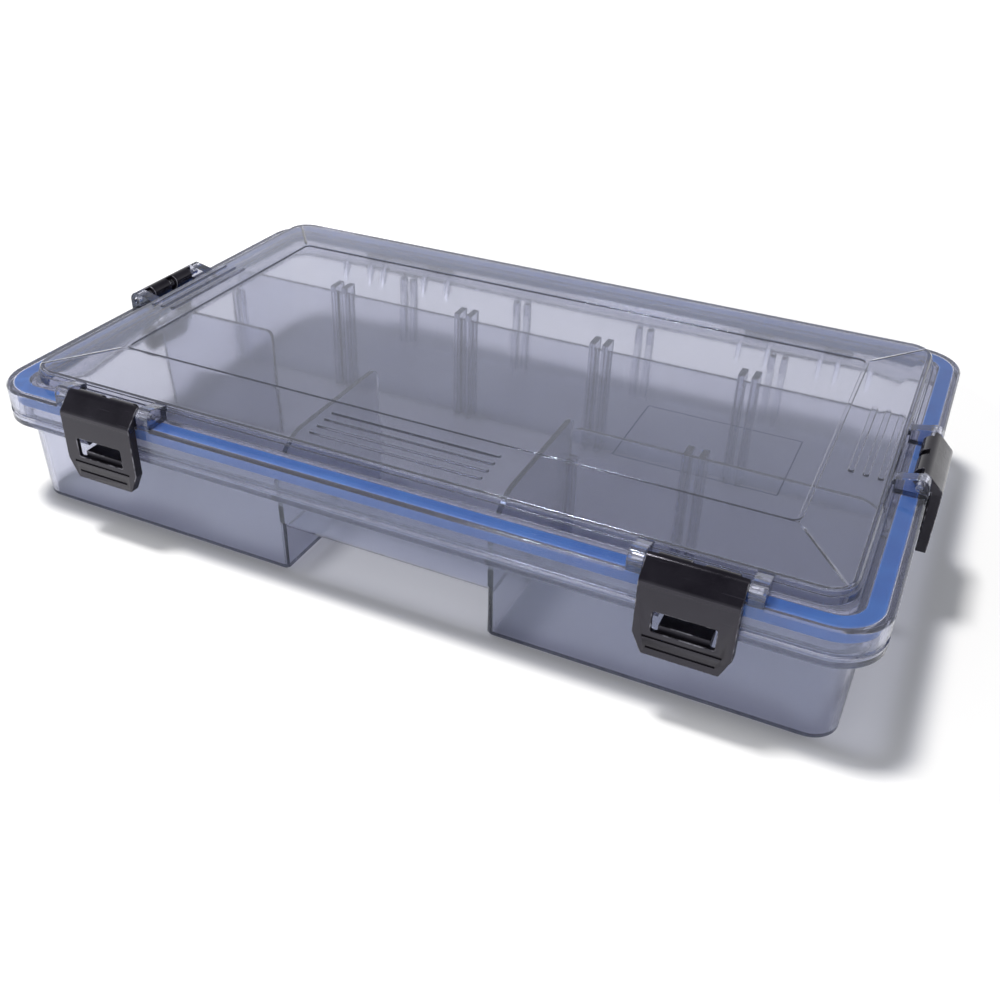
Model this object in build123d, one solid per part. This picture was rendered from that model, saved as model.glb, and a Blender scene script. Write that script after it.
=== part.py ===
from build123d import *
import math
import os

# Compartment box with a hinged, gasketed lid and four snap-over latches.
# Millimetres. X runs along the long side, +Y points to the hinge side and +Z up.
# The origin lies on the underside, below the middle of the rim.

# Tub
floor_half_x = 165.0
floor_half_y = 98.9
floor_corner = 10.0
tub_draft = 1.0
tub_wall = 2.0
tub_floor = 2.0
bottom_bevel = 1.5

# Rim around the tub's top, whose outline the lid's flange shares
rim_bottom_z = 37.7
rim_overhang_x = 8.0
rim_overhang_y = 8.5
rim_corner = 18.0
rim_height = 4.3
rim_shelf = 2.0
rim_lip_wall = 2.0
rim_edge_bevel = 0.7
seal_rib_inset = 4.8
seal_rib_wall = 2.2
seal_rib_rise = 4.2
lid_seam = 0.3

# Finger recess under the front, between the two front chambers
recess_half = 42.0
recess_depth = 37.0
recess_top_z = 18.5
recess_corner = 4.0
recess_edge_round = 2.5
beam_bevel_height = 5.0
beam_bevel = 3.5

# Lid
lid_inset_x = 12.5
lid_inset_y = 11.4
lid_corner = 10.0
lid_wall = 2.0
lid_rise = 6.0
lid_edge_bevel = 0.8
lid_step = 0.8
lid_step_drop = 2.7
flange_plate = 1.2
flange_edge_bevel = 0.9
skirt_wall = 2.7
skirt_band = 0.4
skirt_band_height = 2.2
border_x = 22.8
border_y = 29.3
panel_corner = 4.0
panel_rise = 1.0
bead_width = 1.4
bead_rise = 0.5
channel_wall = 2.0
channel_lift = 0.8

# Raised grip ribs on the lid's sloping border
grip_width = 2.0
grip_rise = 0.7
front_grip_length = 69.0
front_grip_count = 4
front_grip_pitch = 5.0
front_grip_margin = 7.2
side_grip_length = 53.0
side_grip_count = 3
side_grip_pitch = 5.15
side_grip_margin = 3.85

# Gasket
gasket_width = 5.8
gasket_height = 5.1
gasket_gap = 0.3
gasket_bevel = 0.7

# Latches, in a frame whose origin is the flange's outer face
front_latch_inset = 58.3
latch_half_width = 16.27
latch_length = 30.8
latch_front = 4.4
latch_plate = 1.8
latch_back = 0.6
latch_barrel_r = 3.4
latch_barrel_gap = 0.6
latch_crease_drop = 1.5
latch_crease_round = 2.4
latch_head_gap = 0.4
latch_knuckle_gap = 4.0
latch_knuckle_end = 3.3
latch_chamfer_width = 3.5
latch_chamfer_height = 7.6
latch_side_gap = 0.33
window_half = 10.4
window_height = 8.0
window_sill = 2.0
window_corner = 0.8
groove_width = 0.9
groove_depth = 0.5
groove_upper_rise = 7.4
groove_upper_half = 13.0
groove_lower_rise = 3.3
groove_lower_half = 11.3
hook_half = 8.5
hook_reach = 3.7
hook_height = 7.4
hook_tip = 2.1
hook_gap = 0.3
catch_side_gap = 1.2
catch_gap = 0.5
latch_pin_r = 1.25
pin_clearance = 0.05
latch_pin_setback = 1.3

# Ears that carry a latch pin
ear_thickness = 5.3
ear_root_drop = 0.8

# Hinges
hinge_axis_out = 4.0
knuckle_r = 3.2
hinge_pin_r = 1.3
hinge_inset = 96.0
base_knuckle_length = 12.6
lid_knuckle_length = 24.0
knuckle_gap = 0.4
arm_gap = 0.3
gusset_thickness = 2.0
gusset_height = 10.2
gusset_edge = 0.8
inner_gusset_offset = 0.5
outer_gusset_offsets = (8.0, 22.5)

# Slots, walls and dividers inside
divider_thickness = 2.0
divider_gap = 0.3
divider_end_gap = 0.4
slot_rib = 2.7
slot_rib_depth = 3.0
slot_gap = 2.9
slot_rise = 0.3
holder_rib = 2.0
cell_count = 5
cell_margin = 2.5
post_prong = 2.8
post_gap = 3.0
post_depth = 3.0
post_headroom = 3.0
rear_row_depth = 55.9
rear_divider_headroom = 7.0
rear_divider_round = 8.0
rear_post_shift = 3.3
rear_post_spread = 1.0
front_row_depth = 65.9
right_divider_headroom = 5.0
right_divider_round = 12.0
right_post_inset = 70.0
bay_wall_overrun = 3.5
bay_wall_headroom = 2.4
bay_wall_front_round = 16.0
bay_wall_rear_round = 4.0
short_wall_length = 60.0
short_wall_from_front = 82.9
short_wall_headroom = 5.0
short_wall_outer_round = 12.0
short_wall_end_round = 3.0

# How far a piece of one moulding runs into the next one before they are joined
merge = 0.8

# Heights that follow from the ones above
beam_crease_z = recess_top_z + beam_bevel_height
rim_top_z = rim_bottom_z + rim_height
skirt_bottom_z = rim_top_z + lid_seam
skirt_band_z = skirt_bottom_z + skirt_band_height
seal_top_z = rim_top_z + seal_rib_rise
channel_bottom_z = seal_top_z + channel_lift
flange_under_z = seal_top_z + gasket_height
flange_top_z = flange_under_z + flange_plate
lid_edge_z = flange_top_z + lid_rise
lid_step_z = lid_edge_z - lid_step_drop
ceiling_z = lid_edge_z - lid_wall
latch_axis_z = flange_top_z + latch_barrel_gap + latch_barrel_r
latch_crease_z = latch_axis_z - latch_crease_drop
latch_bottom_z = latch_axis_z - latch_length
hook_top_z = rim_bottom_z - hook_gap
hook_root_z = hook_top_z - hook_height
window_low_z = hook_top_z - window_sill
window_high_z = window_low_z + window_height
hinge_axis_z = rim_top_z
slot_top_z = rim_bottom_z + slot_rise

# Places and widths that follow from the ones above
inner_half_x = floor_half_x - tub_wall
inner_half_y = floor_half_y - tub_wall
recess_back_y = -floor_half_y + recess_depth
flange_half_x = floor_half_x + rim_overhang_x
flange_half_y = floor_half_y + rim_overhang_y
lid_half_x = flange_half_x - lid_inset_x
lid_half_y = flange_half_y - lid_inset_y
panel_half_x = lid_half_x - border_x
panel_half_y = lid_half_y - border_y
gasket_outer_inset = skirt_wall + gasket_gap
gasket_inner_inset = gasket_outer_inset + gasket_width
channel_inset = gasket_inner_inset + gasket_gap
latch_axis_in = latch_barrel_r
latch_pin_bore_r = latch_pin_r + pin_clearance
front_latch_x = flange_half_x - front_latch_inset
ear_inner = latch_half_width + latch_side_gap
ear_outer = ear_inner + ear_thickness
hinge_axis_y = flange_half_y + hinge_axis_out
hinge_bore_r = hinge_pin_r + pin_clearance
hinge_start_x = flange_half_x - hinge_inset
lid_knuckle_start_x = hinge_start_x + base_knuckle_length + knuckle_gap
lid_knuckle_end_x = lid_knuckle_start_x + lid_knuckle_length
hinge_end_x = lid_knuckle_end_x + knuckle_gap + base_knuckle_length
cell_pitch = 2 * (inner_half_x - cell_margin) / cell_count
rear_divider_y = inner_half_y - rear_row_depth
right_divider_y = front_row_depth - inner_half_y
right_post_x = inner_half_x - right_post_inset
bay_wall_end_y = right_divider_y + bay_wall_overrun
short_wall_y = short_wall_from_front - inner_half_y
short_wall_end_x = short_wall_length - inner_half_x


def slab(half_x, half_y, corner, low, high):
    """Flat block with rounded corners in plan."""
    return extrude(Pos(0, 0, low) * RectangleRounded(2 * half_x, 2 * half_y, corner), high - low)


def drafted_slab(half_x, half_y, corner, low, high, spread):
    """Block whose outline grows by spread from its low face to its high face."""
    bottom = Pos(0, 0, low) * RectangleRounded(2 * half_x, 2 * half_y, corner)
    top = Pos(0, 0, high) * RectangleRounded(
        2 * (half_x + spread), 2 * (half_y + spread), corner + spread
    )
    return loft([bottom, top], ruled=True)


def flange_slab(inset, low, high):
    """Block that follows the flange's outline, a set distance inside it."""
    return slab(flange_half_x - inset, flange_half_y - inset, rim_corner - inset, low, high)


def flange_ring(outer_inset, inner_inset, low, high):
    """Ring between two outlines that follow the flange."""
    return flange_slab(outer_inset, low, high) - flange_slab(inner_inset, low - 1, high + 1)


def block(x_range, y_range, z_range):
    """Plain block between three pairs of limits."""
    sizes = [high - low for low, high in (x_range, y_range, z_range)]
    centre = [(high + low) / 2 for low, high in (x_range, y_range, z_range)]
    return Pos(*centre) * Box(*sizes)


def upright(start, end, low, top, start_round, end_round, thickness):
    """Upright wall along X, centred on Y = 0, with its two top corners rounded."""
    face = make_face(Polyline((start, low), (end, low), (end, top), (start, top), close=True))
    for place, radius in ((start, start_round), (end, end_round)):
        corner = face.vertices().sort_by_distance((place, top, 0))[0]
        face = fillet(corner, radius)
    return extrude(Plane.XZ * face, thickness / 2, both=True)


def rod(radius, start, end, y, z):
    """Cylinder along X."""
    return extrude(Plane.YZ.offset(start) * Pos(y, z) * Circle(radius), end - start)


def spread_at(z):
    """How far the drafted tub wall has moved outward at a height."""
    return tub_draft * z / rim_bottom_z


def latch_places():
    """Names and places of the four latches. In each place -Y points outward."""
    return {
        "front_left": Location((-front_latch_x, -flange_half_y, 0)),
        "front_right": Location((front_latch_x, -flange_half_y, 0)),
        "left": Location((-flange_half_x, 0, 0), (0, 0, -90)),
        "right": Location((flange_half_x, 0, 0), (0, 0, 90)),
    }


def tub_outside():
    """Drafted outside of the tub with the recess under its front."""
    body = drafted_slab(floor_half_x, floor_half_y, floor_corner, 0, rim_bottom_z, tub_draft)
    outer_y = -floor_half_y - tub_draft
    profile = make_face(
        Polyline(
            (-2 * flange_half_y, -1),
            (recess_back_y, -1),
            (recess_back_y, recess_top_z),
            (beam_bevel - floor_half_y, recess_top_z),
            (outer_y, beam_crease_z),
            (-2 * flange_half_y, beam_crease_z),
            close=True,
        )
    )
    recess = extrude(Plane.YZ * profile, recess_half, both=True)
    recess = fillet(recess.edges().filter_by(Axis.Z).group_by(Axis.Y)[-1], recess_corner)
    body -= recess
    side_edges = [
        edge
        for edge in body.edges()
        if abs(abs(edge.center().X) - recess_half) < 0.1
        and edge.center().Y < -floor_half_y + 0.5
        and edge.center().Z < recess_top_z
    ]
    body = fillet(side_edges, recess_edge_round)
    return chamfer(body.faces().sort_by(Axis.Z)[0].edges(), bottom_bevel)


def tub_inside():
    """Space inside the tub, with the raised floor over the recess left out."""
    spread = spread_at(seal_top_z)
    space = drafted_slab(
        inner_half_x + spread_at(tub_floor),
        inner_half_y + spread_at(tub_floor),
        floor_corner - tub_wall,
        tub_floor,
        seal_top_z + 1,
        spread,
    )
    raised = block(
        (-recess_half - tub_wall, recess_half + tub_wall),
        (-2 * flange_half_y, recess_back_y + tub_wall),
        (-1, recess_top_z + tub_floor),
    )
    return space - raised


def slot_pair(gap, rib, depth, top):
    """Two upright ribs with a slot between them, standing out toward -Y from the plane Y = 0."""
    offset = (gap + rib) / 2
    centre_z = (tub_floor - merge + top) / 2
    height = top - tub_floor + merge
    one = Pos(0, (merge - depth) / 2, centre_z) * Box(rib, depth + merge, height)
    return Pos(-offset, 0, 0) * one + Pos(offset, 0, 0) * one


def fixed_walls():
    """Walls moulded with the tub: one on each side of the middle front bay and a short one."""
    low = tub_floor - merge
    bay_wall = upright(
        -inner_half_y - merge,
        bay_wall_end_y,
        low,
        ceiling_z - bay_wall_headroom,
        bay_wall_front_round,
        bay_wall_rear_round,
        tub_wall,
    )
    short_wall = upright(
        -inner_half_x - merge,
        short_wall_end_x,
        low,
        ceiling_z - short_wall_headroom,
        short_wall_outer_round,
        short_wall_end_round,
        tub_wall,
    )
    made = [Pos(0, short_wall_y, 0) * short_wall]
    for side in (-1, 1):
        place = Location((side * (recess_half + tub_wall / 2), 0, 0), (0, 0, 90))
        made.append(place * bay_wall)
    return made


def divider_slots():
    """Pairs of ribs that hold the loose dividers and the cross pieces of the rear row."""
    cell_slot = slot_pair(slot_gap, slot_rib, slot_rib_depth, slot_top_z)
    holder = slot_pair(
        divider_thickness + 2 * divider_gap, holder_rib, slot_rib_depth, slot_top_z
    )
    made = []
    for step in range(1, cell_count):
        x = (step - cell_count / 2) * cell_pitch
        made.append(Location((x, inner_half_y, 0)) * cell_slot)
    for side in (-1, 1):
        made.append(Location((side * inner_half_x, rear_divider_y, 0), (0, 0, -90 * side)) * holder)
    made.append(Location((inner_half_x, right_divider_y, 0), (0, 0, -90)) * holder)
    bay_face = recess_half + tub_wall
    made.append(Location((bay_face, right_divider_y, 0), (0, 0, 90)) * holder)
    return made


def tub_rim():
    """Shelf, outer lip and seal rib around the top of the tub."""
    rim = flange_slab(0, rim_bottom_z, rim_top_z)
    rim = chamfer(rim.faces().sort_by(Axis.Z)[0].edges(), rim_edge_bevel)
    rim -= flange_slab(rim_lip_wall, rim_bottom_z + rim_shelf, rim_top_z + 1)
    seal = flange_ring(
        seal_rib_inset, seal_rib_inset + seal_rib_wall, rim_bottom_z + rim_shelf, seal_top_z
    )
    return rim + seal


def base_hinge_half(side):
    """Knuckles, their arms and the gussets behind the tub, on one side."""
    made = []
    for start in (hinge_start_x, lid_knuckle_end_x + knuckle_gap):
        low, high = sorted((side * start, side * (start + base_knuckle_length)))
        made.append(rod(knuckle_r, low, high, hinge_axis_y, hinge_axis_z))
        made.append(
            block(
                (low, high),
                (flange_half_y - merge, hinge_axis_y),
                (hinge_axis_z - knuckle_r, rim_top_z - arm_gap),
            )
        )
    gusset = make_face(
        Polyline(
            (floor_half_y, rim_bottom_z - gusset_height),
            (flange_half_y - gusset_edge, rim_bottom_z + merge),
            (floor_half_y, rim_bottom_z + merge),
            close=True,
        )
    )
    outer = [lid_knuckle_end_x + step for step in outer_gusset_offsets]
    inner = [hinge_start_x - inner_gusset_offset, lid_knuckle_start_x, lid_knuckle_end_x]
    for x in inner + outer:
        plane = Plane.YZ.offset(side * x)
        made.append(extrude(plane * gusset, gusset_thickness / 2, both=True))
    return made


def make_base_tub():
    """Moulded tub: drafted shell, rim, hinge knuckles, fixed walls and divider slots."""
    tub = tub_outside() + tub_rim()
    tub -= tub_inside()
    for piece in fixed_walls() + divider_slots():
        tub += piece
    for side in (-1, 1):
        for piece in base_hinge_half(side):
            tub += piece
        low, high = sorted((side * hinge_start_x, side * hinge_end_x))
        tub -= rod(hinge_bore_r, low - 1, high + 1, hinge_axis_y, hinge_axis_z)
    catch = block(
        (-hook_half - catch_side_gap, hook_half + catch_side_gap),
        (-1, hook_reach + catch_gap),
        (rim_bottom_z - 1, rim_top_z + 1),
    )
    for place in latch_places().values():
        tub -= place * catch
    return tub


def hipped_block(half_x, half_y, edge_z, low):
    """Block whose top slopes up from all four sides, from edge_z to the panel's flat top."""
    profiles = []
    for half, flat in ((half_x, panel_half_x), (half_y, panel_half_y)):
        profiles.append(
            make_face(
                Polyline(
                    (-half, low),
                    (half, low),
                    (half, edge_z),
                    (flat, edge_z + panel_rise),
                    (-flat, edge_z + panel_rise),
                    (-half, edge_z),
                    close=True,
                )
            )
        )
    along_y = extrude(Plane.XZ * profiles[0], half_y + 1, both=True)
    along_x = extrude(Plane.YZ * profiles[1], half_x + 1, both=True)
    return along_y & along_x


def lid_outside():
    """Flange, stepped wall, sloping border and beaded panel as one solid."""
    flange = flange_slab(0, skirt_bottom_z, flange_top_z)
    flange = chamfer(flange.faces().sort_by(Axis.Z)[-1].edges(), flange_edge_bevel)
    flange -= flange_ring(-1, skirt_band, skirt_bottom_z - 1, skirt_band_z)
    lower = slab(
        lid_half_x + lid_step, lid_half_y + lid_step, lid_corner + lid_step,
        flange_under_z, lid_step_z,
    )
    raised = slab(lid_half_x, lid_half_y, lid_corner, flange_under_z, lid_edge_z + 2 * panel_rise)
    raised &= hipped_block(lid_half_x, lid_half_y, lid_edge_z, flange_under_z)
    rim_edges = [
        edge
        for edge in raised.edges()
        if lid_edge_z - 0.01 < edge.center().Z < lid_edge_z + 0.3 * panel_rise
        and max(abs(edge.center().X) - lid_half_x, abs(edge.center().Y) - lid_half_y)
        > -lid_corner / 2
    ]
    raised = chamfer(rim_edges, lid_edge_bevel)
    panel_z = lid_edge_z + panel_rise
    bead = slab(panel_half_x, panel_half_y, panel_corner, panel_z - merge, panel_z + bead_rise)
    bead -= slab(
        panel_half_x - bead_width, panel_half_y - bead_width, panel_corner - bead_width,
        panel_z - 1, panel_z + 1,
    )
    return flange + lower + raised + bead


def lid_inside():
    """Space under the lid: the skirt's cavity and the hollow of the raised part."""
    hollow_x = lid_half_x - lid_wall
    hollow_y = lid_half_y - lid_wall
    hollow_corner = lid_corner - lid_wall
    skirt = flange_slab(skirt_wall, skirt_bottom_z - 1, flange_under_z)
    well = slab(hollow_x, hollow_y, hollow_corner, skirt_bottom_z - 1, ceiling_z + 2 * panel_rise)
    well &= hipped_block(hollow_x, hollow_y, ceiling_z, skirt_bottom_z - 1)
    return skirt + well


def grip_rib(length, surface_z):
    """Low rib with round ends, along X, standing on the sloping border."""
    low = surface_z - merge
    return extrude(Pos(0, 0, low) * SlotOverall(length, grip_width), merge + grip_rise)


def lid_grips():
    """Grip ribs along the front and both ends of the lid."""
    made = []
    for index in range(front_grip_count):
        distance = lid_half_y - front_grip_margin - index * front_grip_pitch
        surface = lid_edge_z + panel_rise * (lid_half_y - distance) / border_y
        made.append(Pos(0, -distance, 0) * grip_rib(front_grip_length, surface))
    for index in range(side_grip_count):
        distance = lid_half_x - side_grip_margin - index * side_grip_pitch
        surface = lid_edge_z + panel_rise * (lid_half_x - distance) / border_x
        rib = Rot(0, 0, 90) * grip_rib(side_grip_length, surface)
        made.append(Pos(-distance, 0, 0) * rib)
        made.append(Pos(distance, 0, 0) * rib)
    return made


def ear_pair(root):
    """Two ears that stand on the flange and hold a latch pin, in a latch's own frame."""
    top = (latch_axis_in, latch_axis_z + latch_barrel_r)
    nose = (latch_axis_in - latch_barrel_r, latch_axis_z)
    middle = math.sqrt(0.5) * latch_barrel_r
    nose_middle = (latch_axis_in - middle, latch_axis_z + middle)
    outline = (
        Polyline(
            top,
            (root, lid_edge_z - ear_root_drop),
            (root, flange_under_z),
            (nose[0] + flange_edge_bevel, flange_under_z),
            (nose[0], flange_top_z - flange_edge_bevel),
            nose,
        )
        + ThreePointArc(nose, nose_middle, top)
    )
    face = make_face(outline)
    ears = extrude(Plane.YZ.offset(ear_inner) * face, ear_thickness)
    ears += extrude(Plane.YZ.offset(-ear_outer) * face, ear_thickness)
    bore = rod(latch_pin_bore_r, -ear_outer - 1, ear_outer + 1, latch_axis_in, latch_axis_z)
    return ears - bore


def lid_knuckle(side):
    """Middle knuckle of one hinge with the arm that joins it to the skirt."""
    low, high = sorted((side * lid_knuckle_start_x, side * lid_knuckle_end_x))
    barrel = rod(knuckle_r, low, high, hinge_axis_y, hinge_axis_z)
    arm = block(
        (low, high),
        (flange_half_y - skirt_band - merge, hinge_axis_y),
        (skirt_bottom_z, hinge_axis_z + knuckle_r),
    )
    bore = rod(hinge_bore_r, low - 1, high + 1, hinge_axis_y, hinge_axis_z)
    return barrel + arm - bore


def make_lid():
    """Moulded lid: flange with gasket channel, raised top, grip ribs, ears and knuckles."""
    lid = lid_outside() - lid_inside()
    lid += flange_ring(
        channel_inset, channel_inset + channel_wall, channel_bottom_z, flange_under_z + merge
    )
    for rib in lid_grips():
        lid += rib
    for name, place in latch_places().items():
        inset = lid_inset_y if name.startswith("front") else lid_inset_x
        lid += place * ear_pair(inset + merge)
    for side in (-1, 1):
        lid += lid_knuckle(side)
    return lid


def make_gasket():
    """Rubber ring in the lid's channel, with its two lower edges bevelled."""
    ring = flange_ring(gasket_outer_inset, gasket_inner_inset, seal_top_z, flange_under_z)
    return chamfer(ring.faces().sort_by(Axis.Z)[0].edges(), gasket_bevel)


def latch_outline():
    """Front view of a latch below its rolled head: a rectangle with two corners cut off."""
    shoulder_z = latch_bottom_z + latch_chamfer_height
    top_z = latch_crease_z - latch_crease_round
    toe = latch_half_width - latch_chamfer_width
    return make_face(
        Polyline(
            (-toe, latch_bottom_z),
            (toe, latch_bottom_z),
            (latch_half_width, shoulder_z),
            (latch_half_width, top_z),
            (-latch_half_width, top_z),
            (-latch_half_width, shoulder_z),
            close=True,
        )
    )


def latch_head():
    """Head that bends over the flange's edge and wraps the pin in two knuckles."""
    barrel = Pos(latch_axis_in, latch_axis_z) * Circle(latch_barrel_r)
    crease = Pos(latch_crease_round - latch_front, latch_crease_z - latch_crease_round) * Circle(
        latch_crease_round
    )
    face = make_hull(barrel.edges() + crease.edges())
    face -= make_face(
        Polyline(
            (-latch_back, 0),
            (flange_half_y, 0),
            (flange_half_y, flange_top_z + latch_head_gap),
            (-latch_back, flange_top_z + latch_head_gap),
            close=True,
        )
    )
    head = extrude(Plane.YZ * face, latch_half_width, both=True)
    inboard = (latch_axis_in, latch_axis_in + 2 * latch_barrel_r)
    heights = (latch_axis_z - 2 * latch_barrel_r, latch_axis_z + 2 * latch_barrel_r)
    gap_half = latch_knuckle_gap / 2
    end_x = latch_half_width - latch_knuckle_end
    for limits in (
        (-latch_half_width - 1, -end_x),
        (-gap_half, gap_half),
        (end_x, latch_half_width + 1),
    ):
        head -= block(limits, inboard, heights)
    return head - rod(
        latch_pin_bore_r, -latch_half_width - 1, latch_half_width + 1,
        latch_axis_in, latch_axis_z,
    )


def latch_hook():
    """Hook behind the plate, which snaps under the tub's rim."""
    plate_back = latch_plate - latch_front
    hook = make_face(
        Polyline(
            (plate_back - merge, hook_root_z),
            (plate_back - merge, window_low_z),
            (plate_back, window_low_z),
            (plate_back, hook_top_z),
            (hook_reach, hook_top_z),
            (hook_reach, hook_top_z - hook_tip),
            (plate_back, hook_root_z),
            close=True,
        )
    )
    return extrude(Plane.YZ * hook, hook_half, both=True)


def make_latch():
    """Latch in its own frame: rolled head on the pin, dished plate, window, grooves and hook."""
    outline = latch_outline()
    latch = extrude(Plane.XZ.offset(latch_back) * outline, latch_front - latch_back)
    latch -= extrude(
        Plane.XZ.offset(latch_back) * offset(outline, -latch_plate),
        latch_front - latch_plate - latch_back,
    )
    latch += latch_head()
    window = Pos(0, (window_low_z + window_high_z) / 2) * RectangleRounded(
        2 * window_half, window_height, window_corner
    )
    latch -= extrude(Plane.XZ * window, latch_front + 1)
    for rise, half in (
        (groove_upper_rise, groove_upper_half), (groove_lower_rise, groove_lower_half)
    ):
        groove = Pos(0, latch_bottom_z + rise) * Rectangle(2 * half, groove_width)
        latch -= extrude(Plane.XZ.offset(latch_front - groove_depth) * groove, groove_depth + 1)
    return latch + latch_hook()


def make_latch_pin():
    """Pin of one latch, set back a little inside the ears' outer faces."""
    half = ear_outer - latch_pin_setback
    return rod(latch_pin_r, -half, half, latch_axis_in, latch_axis_z)


def make_hinge_pin(side):
    """Pin through the three knuckles of one hinge."""
    low, high = sorted((side * hinge_start_x, side * hinge_end_x))
    return rod(hinge_pin_r, low, high, hinge_axis_y, hinge_axis_z)


def divider_post():
    """Upright pair of prongs on both faces of a divider, which holds a cross piece."""
    offset_x = (post_gap + post_prong) / 2
    depth = divider_thickness + 2 * post_depth
    height = ceiling_z - post_headroom - tub_floor
    prong = Pos(0, 0, tub_floor + height / 2) * Box(post_prong, depth, height)
    return Pos(-offset_x, 0, 0) * prong + Pos(offset_x, 0, 0) * prong


def make_rear_divider():
    """Long divider that parts off the rear row of cells."""
    half = inner_half_x - divider_end_gap
    divider = upright(
        -half, half, tub_floor, ceiling_z - rear_divider_headroom,
        rear_divider_round, rear_divider_round, divider_thickness,
    )
    for step in range(1, cell_count):
        x = (step - cell_count / 2) * (cell_pitch + rear_post_spread) - rear_post_shift
        divider += Pos(x, 0, 0) * divider_post()
    return Pos(0, rear_divider_y, 0) * divider


def make_right_divider():
    """Shorter divider behind the right front chamber."""
    divider = upright(
        recess_half + tub_wall + divider_end_gap,
        inner_half_x - divider_end_gap,
        tub_floor,
        ceiling_z - right_divider_headroom,
        bay_wall_rear_round,
        right_divider_round,
        divider_thickness,
    )
    divider += Pos(right_post_x, 0, 0) * divider_post()
    return Pos(0, right_divider_y, 0) * divider


def make_parts():
    """Every separate piece by name."""
    parts = {
        "base_tub": make_base_tub(),
        "lid": make_lid(),
        "gasket": make_gasket(),
        "rear_long_divider": make_rear_divider(),
        "right_front_divider": make_right_divider(),
        "hinge_pin_left": make_hinge_pin(-1),
        "hinge_pin_right": make_hinge_pin(1),
    }
    latch = make_latch()
    latch_pin = make_latch_pin()
    for name, place in latch_places().items():
        parts["latch_" + name] = place * latch
        parts["latch_pin_" + name] = place * latch_pin
    return parts


os.makedirs("parts", exist_ok=True)
for name, shape in make_parts().items():
    export_step(shape, "parts/" + name + ".step")
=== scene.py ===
import logging
import math
from dataclasses import dataclass
from enum import Enum

import bmesh
import bpy
from mathutils import Matrix, Vector


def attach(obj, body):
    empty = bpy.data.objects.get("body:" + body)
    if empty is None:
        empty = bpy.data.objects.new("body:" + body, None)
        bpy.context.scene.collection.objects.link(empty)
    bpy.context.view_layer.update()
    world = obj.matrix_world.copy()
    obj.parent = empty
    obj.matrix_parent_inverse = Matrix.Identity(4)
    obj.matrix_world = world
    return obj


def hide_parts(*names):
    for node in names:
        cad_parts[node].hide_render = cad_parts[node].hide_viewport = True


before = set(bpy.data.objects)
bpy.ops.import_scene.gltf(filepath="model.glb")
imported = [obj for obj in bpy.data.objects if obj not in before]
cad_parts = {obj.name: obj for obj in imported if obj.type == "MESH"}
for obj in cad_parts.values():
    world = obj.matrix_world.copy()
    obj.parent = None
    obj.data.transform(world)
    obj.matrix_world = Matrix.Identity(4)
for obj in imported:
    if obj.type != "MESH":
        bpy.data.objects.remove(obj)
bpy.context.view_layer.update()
LOG = logging.getLogger("tackle_box")
EDGE_WEIGHT = "bevel_weight_edge"

Colour = tuple[float, float, float]
Place = tuple[float, float, float]
Range = tuple[float, float]
Socket = bpy.types.NodeSocket
Feed = float | Colour | Socket


class Side(Enum):
    """The four places of a latch, by the name that its nodes carry."""

    FRONT_LEFT = "front_left"
    FRONT_RIGHT = "front_right"
    LEFT = "left"
    RIGHT = "right"


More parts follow.
